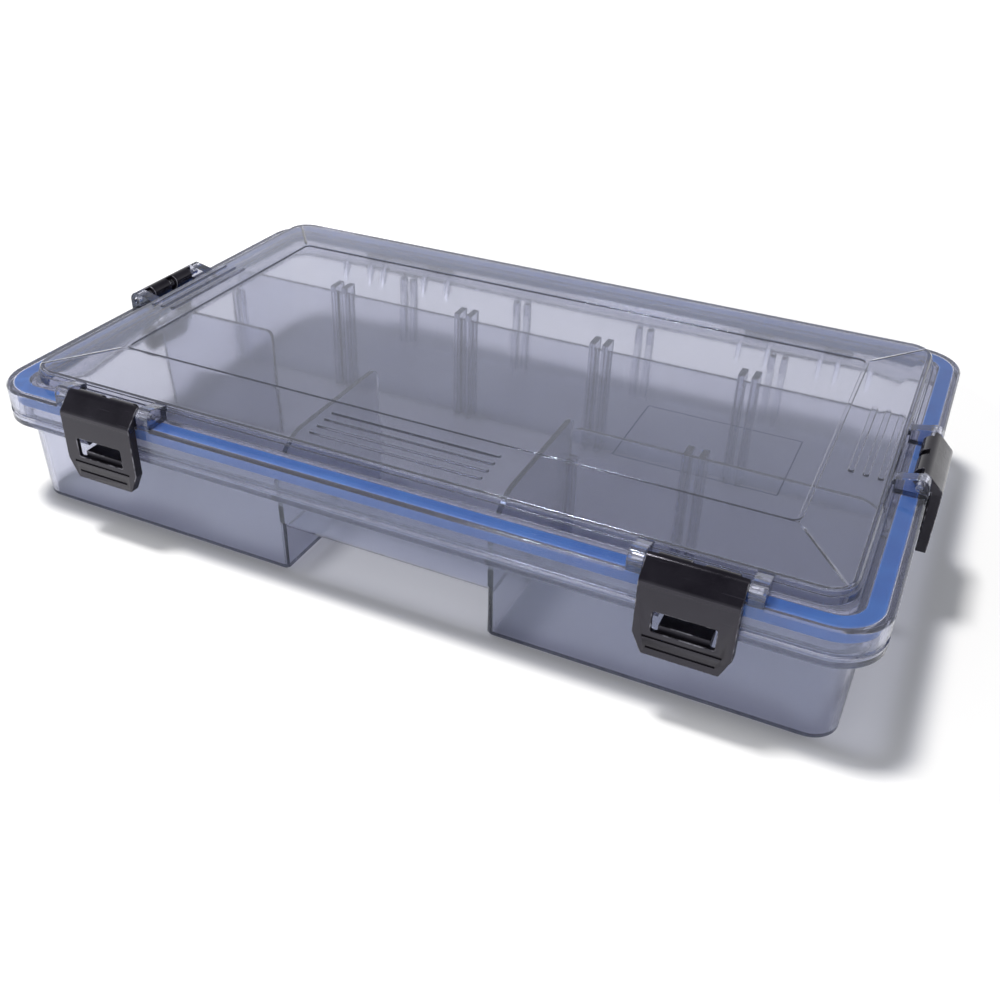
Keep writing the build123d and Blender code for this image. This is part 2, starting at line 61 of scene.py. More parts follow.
@dataclass
class Wiring:
    """Adds nodes to the tree of a material, a world or a node group, and joins their sockets."""

    tree: bpy.types.NodeTree

    def add(self, kind: str, **settings: object) -> bpy.types.Node:
        """Add one node.

        Args:
            kind: Blender's name for the node type.
            **settings: Properties to set on the node.

        Returns:
            The new node.
        """
        node = self.tree.nodes.new(kind)
        for name, value in settings.items():
            setattr(node, name, value)
        return node

    def join(self, source: Socket, target: Socket) -> None:
        """Join an output socket to an input socket."""
        self.tree.links.new(source, target)

    def feed(self, target: Socket, value: Feed) -> None:
        """Give an input socket either a value of its own or another node's output.

        Args:
            target: Input socket.
            value: Number, colour or output socket.
        """
        if isinstance(value, Socket):
            self.join(value, target)
        elif isinstance(value, tuple):
            target.default_value = (*value, 1.0)
        else:
            target.default_value = value

    def give(self, node: bpy.types.Node, **values: Feed) -> None:
        """Feed several inputs of a node, each named with an underscore for a space."""
        for name, value in values.items():
            self.feed(node.inputs[name.replace("_", " ")], value)

    def place(self) -> Socket:
        """Read the place on the piece, in metres."""
        return self.add("ShaderNodeTexCoord").outputs["Object"]

    def axes(self, vector: Socket) -> dict[str, Socket]:
        """Split a vector.

        Args:
            vector: Output socket to read.

        Returns:
            The outputs by the names X, Y and Z.
        """
        node = self.add("ShaderNodeSeparateXYZ")
        self.join(vector, node.inputs[0])
        return {output.name: output for output in node.outputs}

    def noise(self, place: Socket, scale: Socket, detail: float) -> Socket:
        """Add soft noise.

        Args:
            place: Output socket with the place.
            scale: Output socket with the number of lumps in a metre.
            detail: Number of finer layers over the first.

        Returns:
            The noise, from 0 to 1.
        """
        node = self.add("ShaderNodeTexNoise")
        self.give(node, Vector=place, Scale=scale, Detail=detail)
        return node.outputs[0]

    def maths(self, operation: str, first: Feed, second: Feed = 0.0) -> Socket:
        """Add a Math node.

        Args:
            operation: Name of the operation.
            first: Number or output socket.
            second: Number or output socket.

        Returns:
            The node's value output.
        """
        node = self.add("ShaderNodeMath", operation=operation)
        self.feed(node.inputs[0], first)
        self.feed(node.inputs[1], second)
        return node.outputs[0]

    def span(self, value: Socket, read: Range, result: Range = (0.0, 1.0)) -> Socket:
        """Map a range of values onto another one, clamped.

        Args:
            value: Output socket to read.
            read: Lower and upper limit of the values read.
            result: Results at the lower and at the upper limit.

        Returns:
            The node's result output.
        """
        node = self.add("ShaderNodeMapRange")
        self.give(node, Value=value, From_Min=read[0], From_Max=read[1], To_Min=result[0], To_Max=result[1])
        return node.outputs["Result"]

    def blend(self, mask: Socket, plain: Feed, other: Feed) -> Socket:
        """Mix two colours by a mask.

        Args:
            mask: Output socket from 0 to 1.
            plain: Colour or output socket where the mask is 0.
            other: Colour or output socket where the mask is 1.

        Returns:
            The mixed colour.
        """
        node = self.add("ShaderNodeMix", data_type="RGBA")
        # A Mix node has a set of sockets for each kind of value, and these are the ones for colours.
        for socket, value in ((node.inputs[0], mask), (node.inputs[6], plain), (node.inputs[7], other)):
            self.feed(socket, value)
        return node.outputs[2]


@dataclass
class EffectLibrary:
    """Node groups for the marks that several finishes share, each built once.

    Most of the values are ranges of a noise or of a share over which a mark comes up or fades.
    """

    clouded: Range = (0.35, 0.68)
    hairline_tilt: Range = (0.2, 0.1)
    hairline_turn_and_stretch: tuple[Range, ...] = ((0.5, 26.0), (-0.9, 34.0))
    hairline_limit: float = 0.78
    hairline_soft: float = 0.06
    looking_up: Range = (0.3, 0.95)
    speckled: Range = (0.52, 0.72)
    ridge_start: Range = (0.0, 0.12)
    ridge_fade: Range = (0.5, 1.0)
    ridge_end: float = 0.3
    foot_fade: Range = (0.5, 1.0)
    foot_patches: Range = (0.3, 0.6)
    foot_least: float = 0.6

    def __post_init__(self) -> None:
        """Build every group."""
        self.cloud = self._cloud()
        self.scratches = self._scratches()
        self.dust = self._dust()
        self.outline = self._outline()
        self.ridge_and_highlight = self._ridge_and_highlight()
        self.foot = self._foot()

    @staticmethod
    def _new(
        name: str, numbers: dict[str, float], results: tuple[str, ...]
    ) -> tuple[Wiring, bpy.types.NodeTree, bpy.types.Node, bpy.types.Node]:
        """Start a node group with number inputs and number outputs.

        Args:
            name: Name of the group.
            numbers: Inputs and their defaults.
            results: Names of the outputs.

        Returns:
            The wiring, the group, its input node and its output node.
        """
        group = bpy.data.node_groups.new(name, "ShaderNodeTree")
        for title, value in numbers.items():
            socket = group.interface.new_socket(name=title, in_out="INPUT", socket_type="NodeSocketFloat")
            socket.default_value = value
        for title in results:
            group.interface.new_socket(name=title, in_out="OUTPUT", socket_type="NodeSocketFloat")
        wiring = Wiring(group)
        return wiring, group, wiring.add("NodeGroupInput"), wiring.add("NodeGroupOutput")

    def _cloud(self) -> bpy.types.NodeTree:
        """Soft uneven clouding of a moulding.

        Returns:
            Group with the input Scale and the outputs Mask and Height.
        """
        wiring, group, start, end = self._new("soft_clouding", {"Scale": 20.0}, ("Mask", "Height"))
        noise = wiring.noise(wiring.place(), start.outputs["Scale"], detail=4.0)
        wiring.give(end, Mask=wiring.span(noise, self.clouded), Height=noise)
        return group

    def _scratches(self) -> bpy.types.NodeTree:
        """Fine hairlines in two directions, from handling.

        Returns:
            Group with the inputs Scale and Share and the outputs Mask and Height.
        """
        wiring, group, start, end = self._new(
            "handling_scratches", {"Scale": 40.0, "Share": 0.1}, ("Mask", "Height")
        )
        place = wiring.place()
        limit = wiring.maths("SUBTRACT", self.hairline_limit, start.outputs["Share"])
        lines = []
        for angle, stretch in self.hairline_turn_and_stretch:
            turn = wiring.add("ShaderNodeMapping")
            turn.inputs["Rotation"].default_value = (*self.hairline_tilt, angle)
            turn.inputs["Scale"].default_value = (1.0, stretch, stretch)
            wiring.join(place, turn.inputs["Vector"])
            noise = wiring.noise(turn.outputs["Vector"], start.outputs["Scale"], detail=1.0)
            above = wiring.maths("SUBTRACT", noise, limit)
            lines.append(wiring.span(above, (0.0, self.hairline_soft)))
        both = wiring.maths("MAXIMUM", *lines)
        wiring.give(end, Mask=both, Height=wiring.maths("MULTIPLY", both, -1.0))
        return group

    def _dust(self) -> bpy.types.NodeTree:
        """Specks and film of dust on faces that look up.

        Returns:
            Group with the inputs Scale and Share and the output Mask.
        """
        wiring, group, start, end = self._new("settled_dust", {"Scale": 300.0, "Share": 0.3}, ("Mask",))
        face = wiring.add("ShaderNodeNewGeometry")
        up = wiring.span(wiring.axes(face.outputs["Normal"])["Z"], self.looking_up)
        noise = wiring.noise(wiring.place(), start.outputs["Scale"], detail=3.0)
        share = wiring.maths("MULTIPLY", wiring.span(noise, self.speckled), start.outputs["Share"])
        wiring.give(end, Mask=wiring.maths("MULTIPLY", share, up))
        return group

    def _outline(self) -> bpy.types.NodeTree:
        """Thin engraved rectangle on an upward face.

        Returns:
            Group with the rectangle's middle, its half sizes, half its line's width and its lowest
            height, all in metres, and the outputs Mask and Height.
        """
        names = {
            "Middle X": 0.0, "Middle Y": 0.0, "Half X": 0.03, "Half Y": 0.02, "Line": 0.0003,
            "Above": 0.0,
        }
        wiring, group, start, end = self._new("engraved_outline", names, ("Mask", "Height"))
        place = wiring.axes(wiring.place())
        past = []
        for axis in ("X", "Y"):
            off = wiring.maths("SUBTRACT", place[axis], start.outputs["Middle " + axis])
            far = wiring.maths("ABSOLUTE", off)
            past.append(wiring.maths("SUBTRACT", far, start.outputs["Half " + axis]))
        edge = wiring.maths("ABSOLUTE", wiring.maths("MAXIMUM", *past))
        near = wiring.maths("LESS_THAN", edge, start.outputs["Line"])
        high = wiring.maths("GREATER_THAN", place["Z"], start.outputs["Above"])
        mask = wiring.maths("MULTIPLY", near, high)
        wiring.give(end, Mask=mask, Height=wiring.maths("MULTIPLY", mask, -1.0))
        return group

    def _ridge_and_highlight(self) -> bpy.types.NodeTree:
        """Soft ridges that run from the corners of a panel out to the corners round it; the mask also
        paints a highlight along them, strongest next to the panel's corners.

        Returns:
            Group with the panel's half sizes, the border's widths, the ridge's half width and the
            lowest height, all in metres, and the outputs Mask and Height.
        """
        names = {
            "Panel X": 0.1, "Panel Y": 0.05, "Border X": 0.02, "Border Y": 0.02, "Half Width": 0.001,
            "Above": 0.0,
        }
        wiring, group, start, end = self._new("corner_ridge_and_highlight", names, ("Mask", "Height"))
        place = wiring.axes(wiring.place())
        shares = []
        for axis in ("X", "Y"):
            far = wiring.maths("ABSOLUTE", place[axis])
            past = wiring.maths("SUBTRACT", far, start.outputs["Panel " + axis])
            shares.append(wiring.maths("DIVIDE", past, start.outputs["Border " + axis]))
        apart = wiring.maths("ABSOLUTE", wiring.maths("SUBTRACT", *shares))
        apart = wiring.maths("MULTIPLY", apart, start.outputs["Border X"])
        off = wiring.maths("DIVIDE", apart, start.outputs["Half Width"])
        line = wiring.span(off, (0.0, 1.0), (1.0, 0.0))
        inner = wiring.span(wiring.maths("MINIMUM", *shares), self.ridge_start)
        outer = wiring.span(wiring.maths("MAXIMUM", *shares), self.ridge_fade, (1.0, self.ridge_end))
        high = wiring.maths("GREATER_THAN", place["Z"], start.outputs["Above"])
        mask = wiring.maths("MULTIPLY", wiring.maths("MULTIPLY", line, inner), outer)
        mask = wiring.maths("MULTIPLY", mask, high)
        wiring.give(end, Mask=mask, Height=mask)
        return group

    def _foot(self) -> bpy.types.NodeTree:
        """Band round the foot of a piece that is slid about on tables: rubbed, and partly painted paler as
        a highlight along the bottom edge.

        Returns:
            Group with the inputs Top and Scale and the output Mask.
        """
        wiring, group, start, end = self._new("rubbed_foot_and_painted_pale_edge", {"Top": 0.002, "Scale": 200.0}, ("Mask",))
        place = wiring.place()
        share = wiring.maths("DIVIDE", wiring.axes(place)["Z"], start.outputs["Top"])
        band = wiring.span(share, self.foot_fade, (1.0, 0.0))
        noise = wiring.noise(place, start.outputs["Scale"], detail=2.0)
        patches = wiring.span(noise, self.foot_patches, (self.foot_least, 1.0))
        wiring.give(end, Mask=wiring.maths("MULTIPLY", band, patches))
        return group


def new_material(name: str) -> tuple[bpy.types.Material, Wiring, bpy.types.Node]:
    """Make a material with its Principled shader.

    Args:
        name: Name of the material.

    Returns:
        The material, its wiring and the shader node.
    """
    material = bpy.data.materials.new(name)
    material.use_nodes = True
    return material, Wiring(material.node_tree), material.node_tree.nodes["Principled BSDF"]


class Finish:
    """Steps that the finishes of the pieces share."""

    def effect(self, wiring: Wiring, group: bpy.types.NodeTree, **values: float) -> dict[str, Socket]:
        """Place a shared effect with its own values.

        Args:
            wiring: Wiring of the material.
            group: Node group to place.
            **values: Input values, with an underscore for each space in a name.

        Returns:
            The effect's outputs by name.
        """
        node = wiring.add("ShaderNodeGroup", node_tree=group)
        wiring.give(node, **values)
        return {output.name: output for output in node.outputs}

    def relief(self, wiring: Wiring, shader: bpy.types.Node, heights: list[tuple[Socket, float]]) -> None:
        """Turn heights into the shader's normal.

        Args:
            wiring: Wiring of the material.
            shader: Shader that gets the normal.
            heights: Height outputs with the real depth of each, in metres.
        """
        below = None
        for height, depth in heights:
            bump = wiring.add("ShaderNodeBump")
            wiring.give(bump, Strength=1.0, Distance=depth, Height=height)
            if below is not None:
                wiring.join(below, bump.inputs["Normal"])
            below = bump.outputs["Normal"]
        wiring.join(below, shader.inputs["Normal"])


@dataclass(frozen=True)
class FaintRectangle:
    """The faint engraved rectangle on the lid's panel, its line drawn darker as painted shade in the
    groove.

    Attributes:
        line: Half the width of its line.
        above: Height above which a face carries it.
        depth: Depth of its line.
    """

    middle_x: float = 0.09775
    middle_y: float = -0.034
    half_x: float = 0.02925
    half_y: float = 0.020
    line: float = 0.00025
    above: float = 0.0593
    depth: float = 0.0002
    colour: Colour = (0.45, 0.46, 0.52)


@dataclass(frozen=True)
class Panel:
    """The lid's panel with its border, and the thin ridges on the border's corners, which carry a painted
    highlight.

    Attributes:
        border_x: Width of the border at the sides.
        border_y: Width of the border at the front and the back.
        above: Height above which a face carries the ridges.
    """

    half_x: float = 0.1377
    half_y: float = 0.0667
    border_x: float = 0.0228
    border_y: float = 0.0293
    above: float = 0.0584
    ridge_half_width: float = 0.0009
    ridge_height: float = 0.0004


@dataclass(frozen=True)
class SmokePlastic(Finish):
    """Clear plastic with a smoky tint, faint clouding, hairlines and a little dust.

    Attributes:
        rubbed_and_painted_highlight: Paler colour of the ridges, where it is a painted highlight, and of
            the foot, where it is rubbing and partly a painted pale edge.
        gleam: Colour of the reflections.
        smoke: Colour that the depth of the plastic lets through.
        smoke_depth: Strength of the smoke, per metre of plastic.
        shade: Colour of the light that the plastic lets onto what lies under it.
        clearness: Share of the light that goes through the surface.
        polish: Roughness between the hairlines.
        scuffed: Roughness in the hairlines.
        foot: Height of the band round the foot that is rubbed and partly painted paler as a highlight, or 0
            for none.
    """

    name: str
    tint: Colour = (0.93, 0.94, 1.0)
    clouded: Colour = (0.88, 0.89, 0.96)
    rubbed_and_painted_highlight: Colour = (0.93, 0.93, 0.95)
    gleam: Colour = (0.62, 0.74, 1.0)
    smoke: Colour = (0.50, 0.515, 0.62)
    smoke_depth: float = 170.0
    shade: Colour = (0.74, 0.745, 0.77)
    clearness: float = 0.95
    refraction: float = 1.49
    polish: float = 0.06
    scuffed: float = 0.18
    cloud_scale: float = 22.0
    cloud_depth: float = 0.000012
    hairline_scale: float = 30.0
    hairline_share: float = 0.03
    hairline_depth: float = 0.000002
    dust_scale: float = 420.0
    dust_share: float = 0.10
    dust_roughness: float = 0.6
    foot: float = 0.0
    foot_scale: float = 160.0
    foot_roughness: float = 0.3
    rectangle: FaintRectangle | None = None
    panel: Panel | None = None

    def build(self, effects: EffectLibrary) -> bpy.types.Material:
        """Make the material.

        Args:
            effects: Shared effects.

        Returns:
            The finished material.
        """
        material, wiring, shader = new_material(self.name)
        cloud = self.effect(wiring, effects.cloud, Scale=self.cloud_scale)
        lines = self.effect(wiring, effects.scratches, Scale=self.hairline_scale, Share=self.hairline_share)
        dust = self.effect(wiring, effects.dust, Scale=self.dust_scale, Share=self.dust_share)
        colour = wiring.blend(cloud["Mask"], self.tint, self.clouded)
        rough = wiring.span(lines["Mask"], (0.0, 1.0), (self.polish, self.scuffed))
        rough = wiring.maths("ADD", rough, wiring.maths("MULTIPLY", dust["Mask"], self.dust_roughness))
        heights = [(cloud["Height"], self.cloud_depth), (lines["Height"], self.hairline_depth)]
        if self.rectangle:
            mark = self.effect(
                wiring, effects.outline, Middle_X=self.rectangle.middle_x, Middle_Y=self.rectangle.middle_y,
                Half_X=self.rectangle.half_x, Half_Y=self.rectangle.half_y, Line=self.rectangle.line,
                Above=self.rectangle.above,
            )
            # Painted shade: the engraved line is drawn darker.
            colour = wiring.blend(mark["Mask"], colour, self.rectangle.colour)
            heights.append((mark["Height"], self.rectangle.depth))
        if self.panel:
            ridge_and_highlight = self.effect(
                wiring, effects.ridge_and_highlight, Panel_X=self.panel.half_x, Panel_Y=self.panel.half_y,
                Border_X=self.panel.border_x, Border_Y=self.panel.border_y,
                Half_Width=self.panel.ridge_half_width, Above=self.panel.above,
            )
            # Painted highlight: the ridges are drawn in the paler colour, strongest next to the panel's
            # corners and fading outwards.
            colour = wiring.blend(ridge_and_highlight["Mask"], colour, self.rubbed_and_painted_highlight)
            heights.append((ridge_and_highlight["Height"], self.panel.ridge_height))
        if self.foot:
            rub_and_painted_pale_edge = self.effect(wiring, effects.foot, Top=self.foot, Scale=self.foot_scale)
            # The foot band roughens from rubbing, and its paler colour is partly a painted highlight along
            # the bottom edge.
            colour = wiring.blend(rub_and_painted_pale_edge["Mask"], colour, self.rubbed_and_painted_highlight)
            rough = wiring.maths("ADD", rough, wiring.maths("MULTIPLY", rub_and_painted_pale_edge["Mask"], self.foot_roughness))
        wiring.give(
            shader, Base_Color=colour, Roughness=rough, IOR=self.refraction,
            Transmission_Weight=self.clearness, Specular_Tint=self.gleam,
        )
        self.relief(wiring, shader, heights)
        self.let_light_through(material, wiring, shader)
        return material

    def let_light_through(
        self, material: bpy.types.Material, wiring: Wiring, shader: bpy.types.Node
    ) -> None:
        """Put smoke into the plastic, and let light pass straight through to what lies under it.

        Args:
            material: Material to finish.
            wiring: Wiring of the material.
            shader: Shader of its surface.
        """
        depth = wiring.add("ShaderNodeVolumeAbsorption")
        wiring.give(depth, Color=self.smoke, Density=self.smoke_depth)
        clear = wiring.add("ShaderNodeBsdfTransparent")
        wiring.give(clear, Color=self.shade)
        path = wiring.add("ShaderNodeLightPath")
        surface = shader.outputs[0]
        for ray in ("Is Diffuse Ray", "Is Shadow Ray"):
            mix = wiring.add("ShaderNodeMixShader")
            for socket, source in zip(mix.inputs, (path.outputs[ray], surface, clear.outputs[0])):
                wiring.join(source, socket)
            surface = mix.outputs[0]
        output = material.node_tree.nodes["Material Output"]
        wiring.give(output, Surface=surface, Volume=depth.outputs[0])


@dataclass(frozen=True)
class LatchPlastic(Finish):
    """Black moulded plastic: polished over the rolled head, satin below it, with scuffs.

    Attributes:
        rubbed_and_painted_highlight_share: How much of the paler colour shows in the chips, which on the
            edge finish are partly wear and partly painted glints.
        satin: Roughness of the plate.
        gloss: Roughness of the rolled head.
        head_z: Height from which the polish is full.
        head_fade: Height over which it comes up.
    """

    name: str
    black: Colour = (0.005, 0.004, 0.006)
    worn: Colour = (0.030, 0.028, 0.036)
    rubbed_and_painted_highlight: Colour = (0.22, 0.22, 0.25)
    rubbed_and_painted_highlight_share: float = 0.0
    gleam: Colour = (0.86, 0.84, 1.0)
    gleam_level: float = 0.45
    satin: float = 0.42
    gloss: float = 0.10
    head_z: float = 0.0525
    head_fade: float = 0.001
    cloud_scale: float = 90.0
    cloud_share: float = 0.25
    cloud_depth: float = 0.00004
    hairline_scale: float = 60.0
    hairline_share: float = 0.08
    hairline_wear: float = 0.5
    hairline_depth: float = 0.000004
    dust_scale: float = 900.0
    dust_share: float = 0.25
    chip_scale: float = 260.0
    chipped: Range = (0.35, 0.85)
    wear_roughness: float = 0.25

    def build(self, effects: EffectLibrary) -> bpy.types.Material:
        """Make the material.

        Args:
            effects: Shared effects.

        Returns:
            The finished material.
        """
        material, wiring, shader = new_material(self.name)
        cloud = self.effect(wiring, effects.cloud, Scale=self.cloud_scale)
        lines = self.effect(wiring, effects.scratches, Scale=self.hairline_scale, Share=self.hairline_share)
        dust = self.effect(wiring, effects.dust, Scale=self.dust_scale, Share=self.dust_share)
        chips = self.effect(wiring, effects.cloud, Scale=self.chip_scale)
        wear = wiring.maths("MULTIPLY", cloud["Mask"], self.cloud_share)
        wear = wiring.maths("MAXIMUM", wear, wiring.maths("MULTIPLY", lines["Mask"], self.hairline_wear))
        wear = wiring.maths("MAXIMUM", wear, dust["Mask"])
        # On the edge finish, the paler chips are partly wear and partly painted glints.
        chipped = wiring.span(chips["Mask"], self.chipped, (0.0, self.rubbed_and_painted_highlight_share))
        colour = wiring.blend(chipped, wiring.blend(wear, self.black, self.worn), self.rubbed_and_painted_highlight)
        height = wiring.axes(wiring.place())["Z"]
        roll = wiring.span(height, (self.head_z - self.head_fade, self.head_z), (self.satin, self.gloss))
        rough = wiring.maths("ADD", roll, wiring.maths("MULTIPLY", wear, self.wear_roughness))
        wiring.give(
            shader, Base_Color=colour, Roughness=rough, Specular_IOR_Level=self.gleam_level,
            Specular_Tint=self.gleam,
        )
        heights = [(cloud["Height"], self.cloud_depth), (lines["Height"], self.hairline_depth)]
        self.relief(wiring, shader, heights)
        return material


@dataclass(frozen=True)
class GasketRubber(Finish):
    """Blue rubber with a fine tooth and a slightly paler bloom."""

    name: str
    blue: Colour = (0.003, 0.140, 0.580)
    bloom: Colour = (0.015, 0.200, 0.680)
    roughness: Range = (0.5, 0.62)
    bloom_scale: float = 60.0
    tooth_scale: float = 1500.0
    tooth_depth: float = 0.00004

    def build(self, effects: EffectLibrary) -> bpy.types.Material:
        """Make the material.

        Args:
            effects: Shared effects.

        Returns:
            The finished material.
        """
        material, wiring, shader = new_material(self.name)
        cloud = self.effect(wiring, effects.cloud, Scale=self.bloom_scale)
        tooth = self.effect(wiring, effects.cloud, Scale=self.tooth_scale)
        colour = wiring.blend(cloud["Mask"], self.blue, self.bloom)
        wiring.give(
            shader, Base_Color=colour, Roughness=wiring.span(cloud["Mask"], (0.0, 1.0), self.roughness)
        )
        self.relief(wiring, shader, [(tooth["Height"], self.tooth_depth)])
        return material


@dataclass(frozen=True)
class PinSteel(Finish):
    """Drawn steel wire with faint lines."""

    name: str
    bright: Colour = (0.62, 0.62, 0.64)
    dull: Colour = (0.36, 0.36, 0.38)
    roughness: Range = (0.22, 0.4)
    line_scale: float = 120.0
    line_share: float = 0.18
    line_depth: float = 0.000008

    def build(self, effects: EffectLibrary) -> bpy.types.Material:
        """Make the material.

        Args:
            effects: Shared effects.

        Returns:
            The finished material.
        """
        material, wiring, shader = new_material(self.name)
        lines = self.effect(wiring, effects.scratches, Scale=self.line_scale, Share=self.line_share)
        colour = wiring.blend(lines["Mask"], self.bright, self.dull)
        rough = wiring.span(lines["Mask"], (0.0, 1.0), self.roughness)
        wiring.give(shader, Base_Color=colour, Roughness=rough, Metallic=1.0)
        self.relief(wiring, shader, [(lines["Height"], self.line_depth)])
        return material


@dataclass
class Moulding:
    """A piece of the model with its facets joined, its curves smooth and its edges eased.

    Attributes:
        node: Node of the model that the piece stands for.
        body: Body that it rides on.
        material: Finish of the piece.
        slot: Slot that the finish belongs to. Not used.
        worn: Finish of the eased edges, lighter partly from wear and partly as painted glints. With it,
            only the edges that handling rubs are eased.
        notched_sides: Directions of the flat faces with notches, which are split first, because
            an eased edge would otherwise fold them over.
        edge_round: Distance from a sharp edge at which its rounding begins.
        smooth_below: Angle between two faces up to which their edge is part of a curve.
        narrowest_rubbed: Breadth of the narrowest face whose edges get rubbed.
        joined_within: Distance up to which loose corners are one corner.
        flat_within: Angle up to which facets are one flat face.
        same_direction: Cosine from which a face looks in a given direction.
        flat_weight: How much the larger face decides the shading at an edge, up to 100.
    """

    node: str
    body: str
    material: bpy.types.Material
    slot: str
    worn: bpy.types.Material | None = None
    notched_sides: tuple[Place, ...] = ()
    edge_round: float = 0.00022
    edge_segments: int = 2
    smooth_below: float = math.radians(32)
    narrowest_rubbed: float = 0.0012
    joined_within: float = 0.000002
    flat_within: float = math.radians(0.4)
    same_direction: float = 0.99
    flat_weight: int = 100

    def mesh(self) -> bpy.types.Mesh:
        """Copy the node's mesh, join its loose facets and mark the edges to ease.

        Returns:
            The joined mesh, with flat faces whole, notched ones split and curves shaded smooth.
        """
        mesh = bpy.data.meshes.new(self.node + "_finished")
        shape = bmesh.new()
        shape.from_mesh(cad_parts[self.node].data)
        bmesh.ops.remove_doubles(shape, verts=shape.verts, dist=self.joined_within)
        bmesh.ops.dissolve_limit(
            shape, angle_limit=self.flat_within, use_dissolve_boundaries=False,
            verts=shape.verts, edges=shape.edges, delimit=set(),
        )
        for side in self.notched_sides:
            direction = Vector(side)
            notched = [face for face in shape.faces if face.normal.dot(direction) > self.same_direction]
            bmesh.ops.connect_verts_concave(shape, faces=notched)
        weight = shape.edges.layers.float.new(EDGE_WEIGHT)
        for edge in shape.edges:
            sharp = edge.calc_face_angle(0.0) > self.smooth_below
            edge[weight] = float(sharp and (self.worn is None or self.rubs(edge)))
        shape.to_mesh(mesh)
        shape.free()
        mesh.shade_smooth()
        mesh.set_sharp_from_angle(angle=self.smooth_below)
        return mesh

    def rubs(self, edge: bmesh.types.BMEdge) -> bool:
        """Tell an outer edge, which gets rubbed, from an inner one or the lip of a groove."""
        breadth = min(face.calc_area() for face in edge.link_faces) / edge.calc_length()
        return edge.is_convex and breadth > self.narrowest_rubbed

    def ease(self, piece: bpy.types.Object) -> None:
        """Round the marked edges of the piece, and keep its flat faces flat to the eye.

        Args:
            piece: Piece with the joined mesh.
        """
        ease = piece.modifiers.new("eased_edges", "BEVEL")
        ease.width = self.edge_round
        ease.segments = self.edge_segments
        ease.limit_method = "WEIGHT"
        ease.use_clamp_overlap = False
        ease.harden_normals = self.worn is not None
        ease.miter_outer = "MITER_ARC"
        # The eased faces get the lighter edge finish, partly wear and partly painted glints.
        if self.worn:
            piece.data.materials.append(self.worn)
            ease.material = len(piece.data.materials) - 1
        else:
            flat = piece.modifiers.new("flat_faces_stay_flat", "WEIGHTED_NORMAL")
            flat.weight = self.flat_weight
            flat.keep_sharp = True

    def build(self) -> bpy.types.Object:
        """Make the finished piece and let it stand for its node.

        Returns:
            The finished piece.
        """
        piece = bpy.data.objects.new(self.node + "_moulding", self.mesh())
        bpy.context.scene.collection.objects.link(piece)
        piece.data.materials.clear()
        piece.data.materials.append(self.material)
        self.ease(piece)
        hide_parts(self.node)
        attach(piece, self.body)
        LOG.info("%s: %d faces before its edges are eased", piece.name, len(piece.data.polygons))
        return piece


def dress(node: str, material: bpy.types.Material) -> None:
    """Give a node of the model its finish.

    Args:
        node: Name of the node.
        material: Finished material.
    """
    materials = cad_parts[node].data.materials
    materials.clear()
    materials.append(material)
    LOG.info("%s: finish %s", node, material.name)


@dataclass
class TubAssembly:
    """The tub with its two loose dividers."""

    effects: EffectLibrary
    tub: SmokePlastic = SmokePlastic(
        "smoke_tub", smoke_depth=195.0, clearness=0.962, polish=0.14, scuffed=0.20, foot=0.0016
    )
    wall: SmokePlastic = SmokePlastic("smoke_divider")
    edge_round: float = 0.00015
    notched_sides: tuple[Place, ...] = ((0.0, 1.0, 0.0), (0.0, 0.0, -1.0))
    dividers: tuple[str, ...] = ("rear_long_divider", "right_front_divider")

    def build(self) -> None:
        """Make and dress the tub and the dividers."""
        tub = self.tub.build(self.effects)
        wall = self.wall.build(self.effects)
        Moulding(
            "base_tub", "tub", tub, "smoke", edge_round=self.edge_round, notched_sides=self.notched_sides
        ).build()
        for node in self.dividers:
            Moulding(node, "tub", wall, "smoke").build()


@dataclass
class LidAssembly:
    """The lid with its gasket."""

    effects: EffectLibrary
    lid: SmokePlastic = SmokePlastic(
        "smoke_lid", smoke_depth=182.0, shade=(0.82, 0.825, 0.84), clearness=0.952,
        rectangle=FaintRectangle(), panel=Panel(),
    )
    rubber: GasketRubber = GasketRubber("blue_rubber")
    gasket_edge_round: float = 0.0004

    def build(self) -> None:
        """Make and dress the lid and the gasket."""
        lid = self.lid.build(self.effects)
        rubber = self.rubber.build(self.effects)
        Moulding("lid", "lid", lid, "smoke").build()
        Moulding("gasket", "lid", rubber, "blue_rubber", edge_round=self.gasket_edge_round).build()


@dataclass
class LatchSet:
    """The four latches and their pins."""

    effects: EffectLibrary
    black: LatchPlastic = LatchPlastic("black_latch")
    # The eased edges are lighter, with paler chips: partly wear, partly painted glints along the edges.
    edge: LatchPlastic = LatchPlastic(
        "black_latch_edge_wear_and_painted_glint", black=(0.012, 0.011, 0.014), rubbed_and_painted_highlight_share=1.0, satin=0.22, gloss=0.14
    )
    steel: PinSteel = PinSteel("steel_latch_pin")
    edge_round: float = 0.0003

    def build(self) -> None:
        """Make and dress the latches and their pins."""
        black = self.black.build(self.effects)
        edge = self.edge.build(self.effects)
        steel = self.steel.build(self.effects)
        for side in Side:
            node = "latch_" + side.value
            Moulding(node, node, black, "black", worn=edge, edge_round=self.edge_round).build()
            dress("latch_pin_" + side.value, steel)


@dataclass
class HingePair:
    """The pins of the two hinges."""

    effects: EffectLibrary
    steel: PinSteel = PinSteel("steel_hinge_pin")
    nodes: tuple[str, ...] = ("hinge_pin_left", "hinge_pin_right")

    def build(self) -> None:
        """Dress the hinge pins."""
        steel = self.steel.build(self.effects)
        for node in self.nodes:
            dress(node, steel)


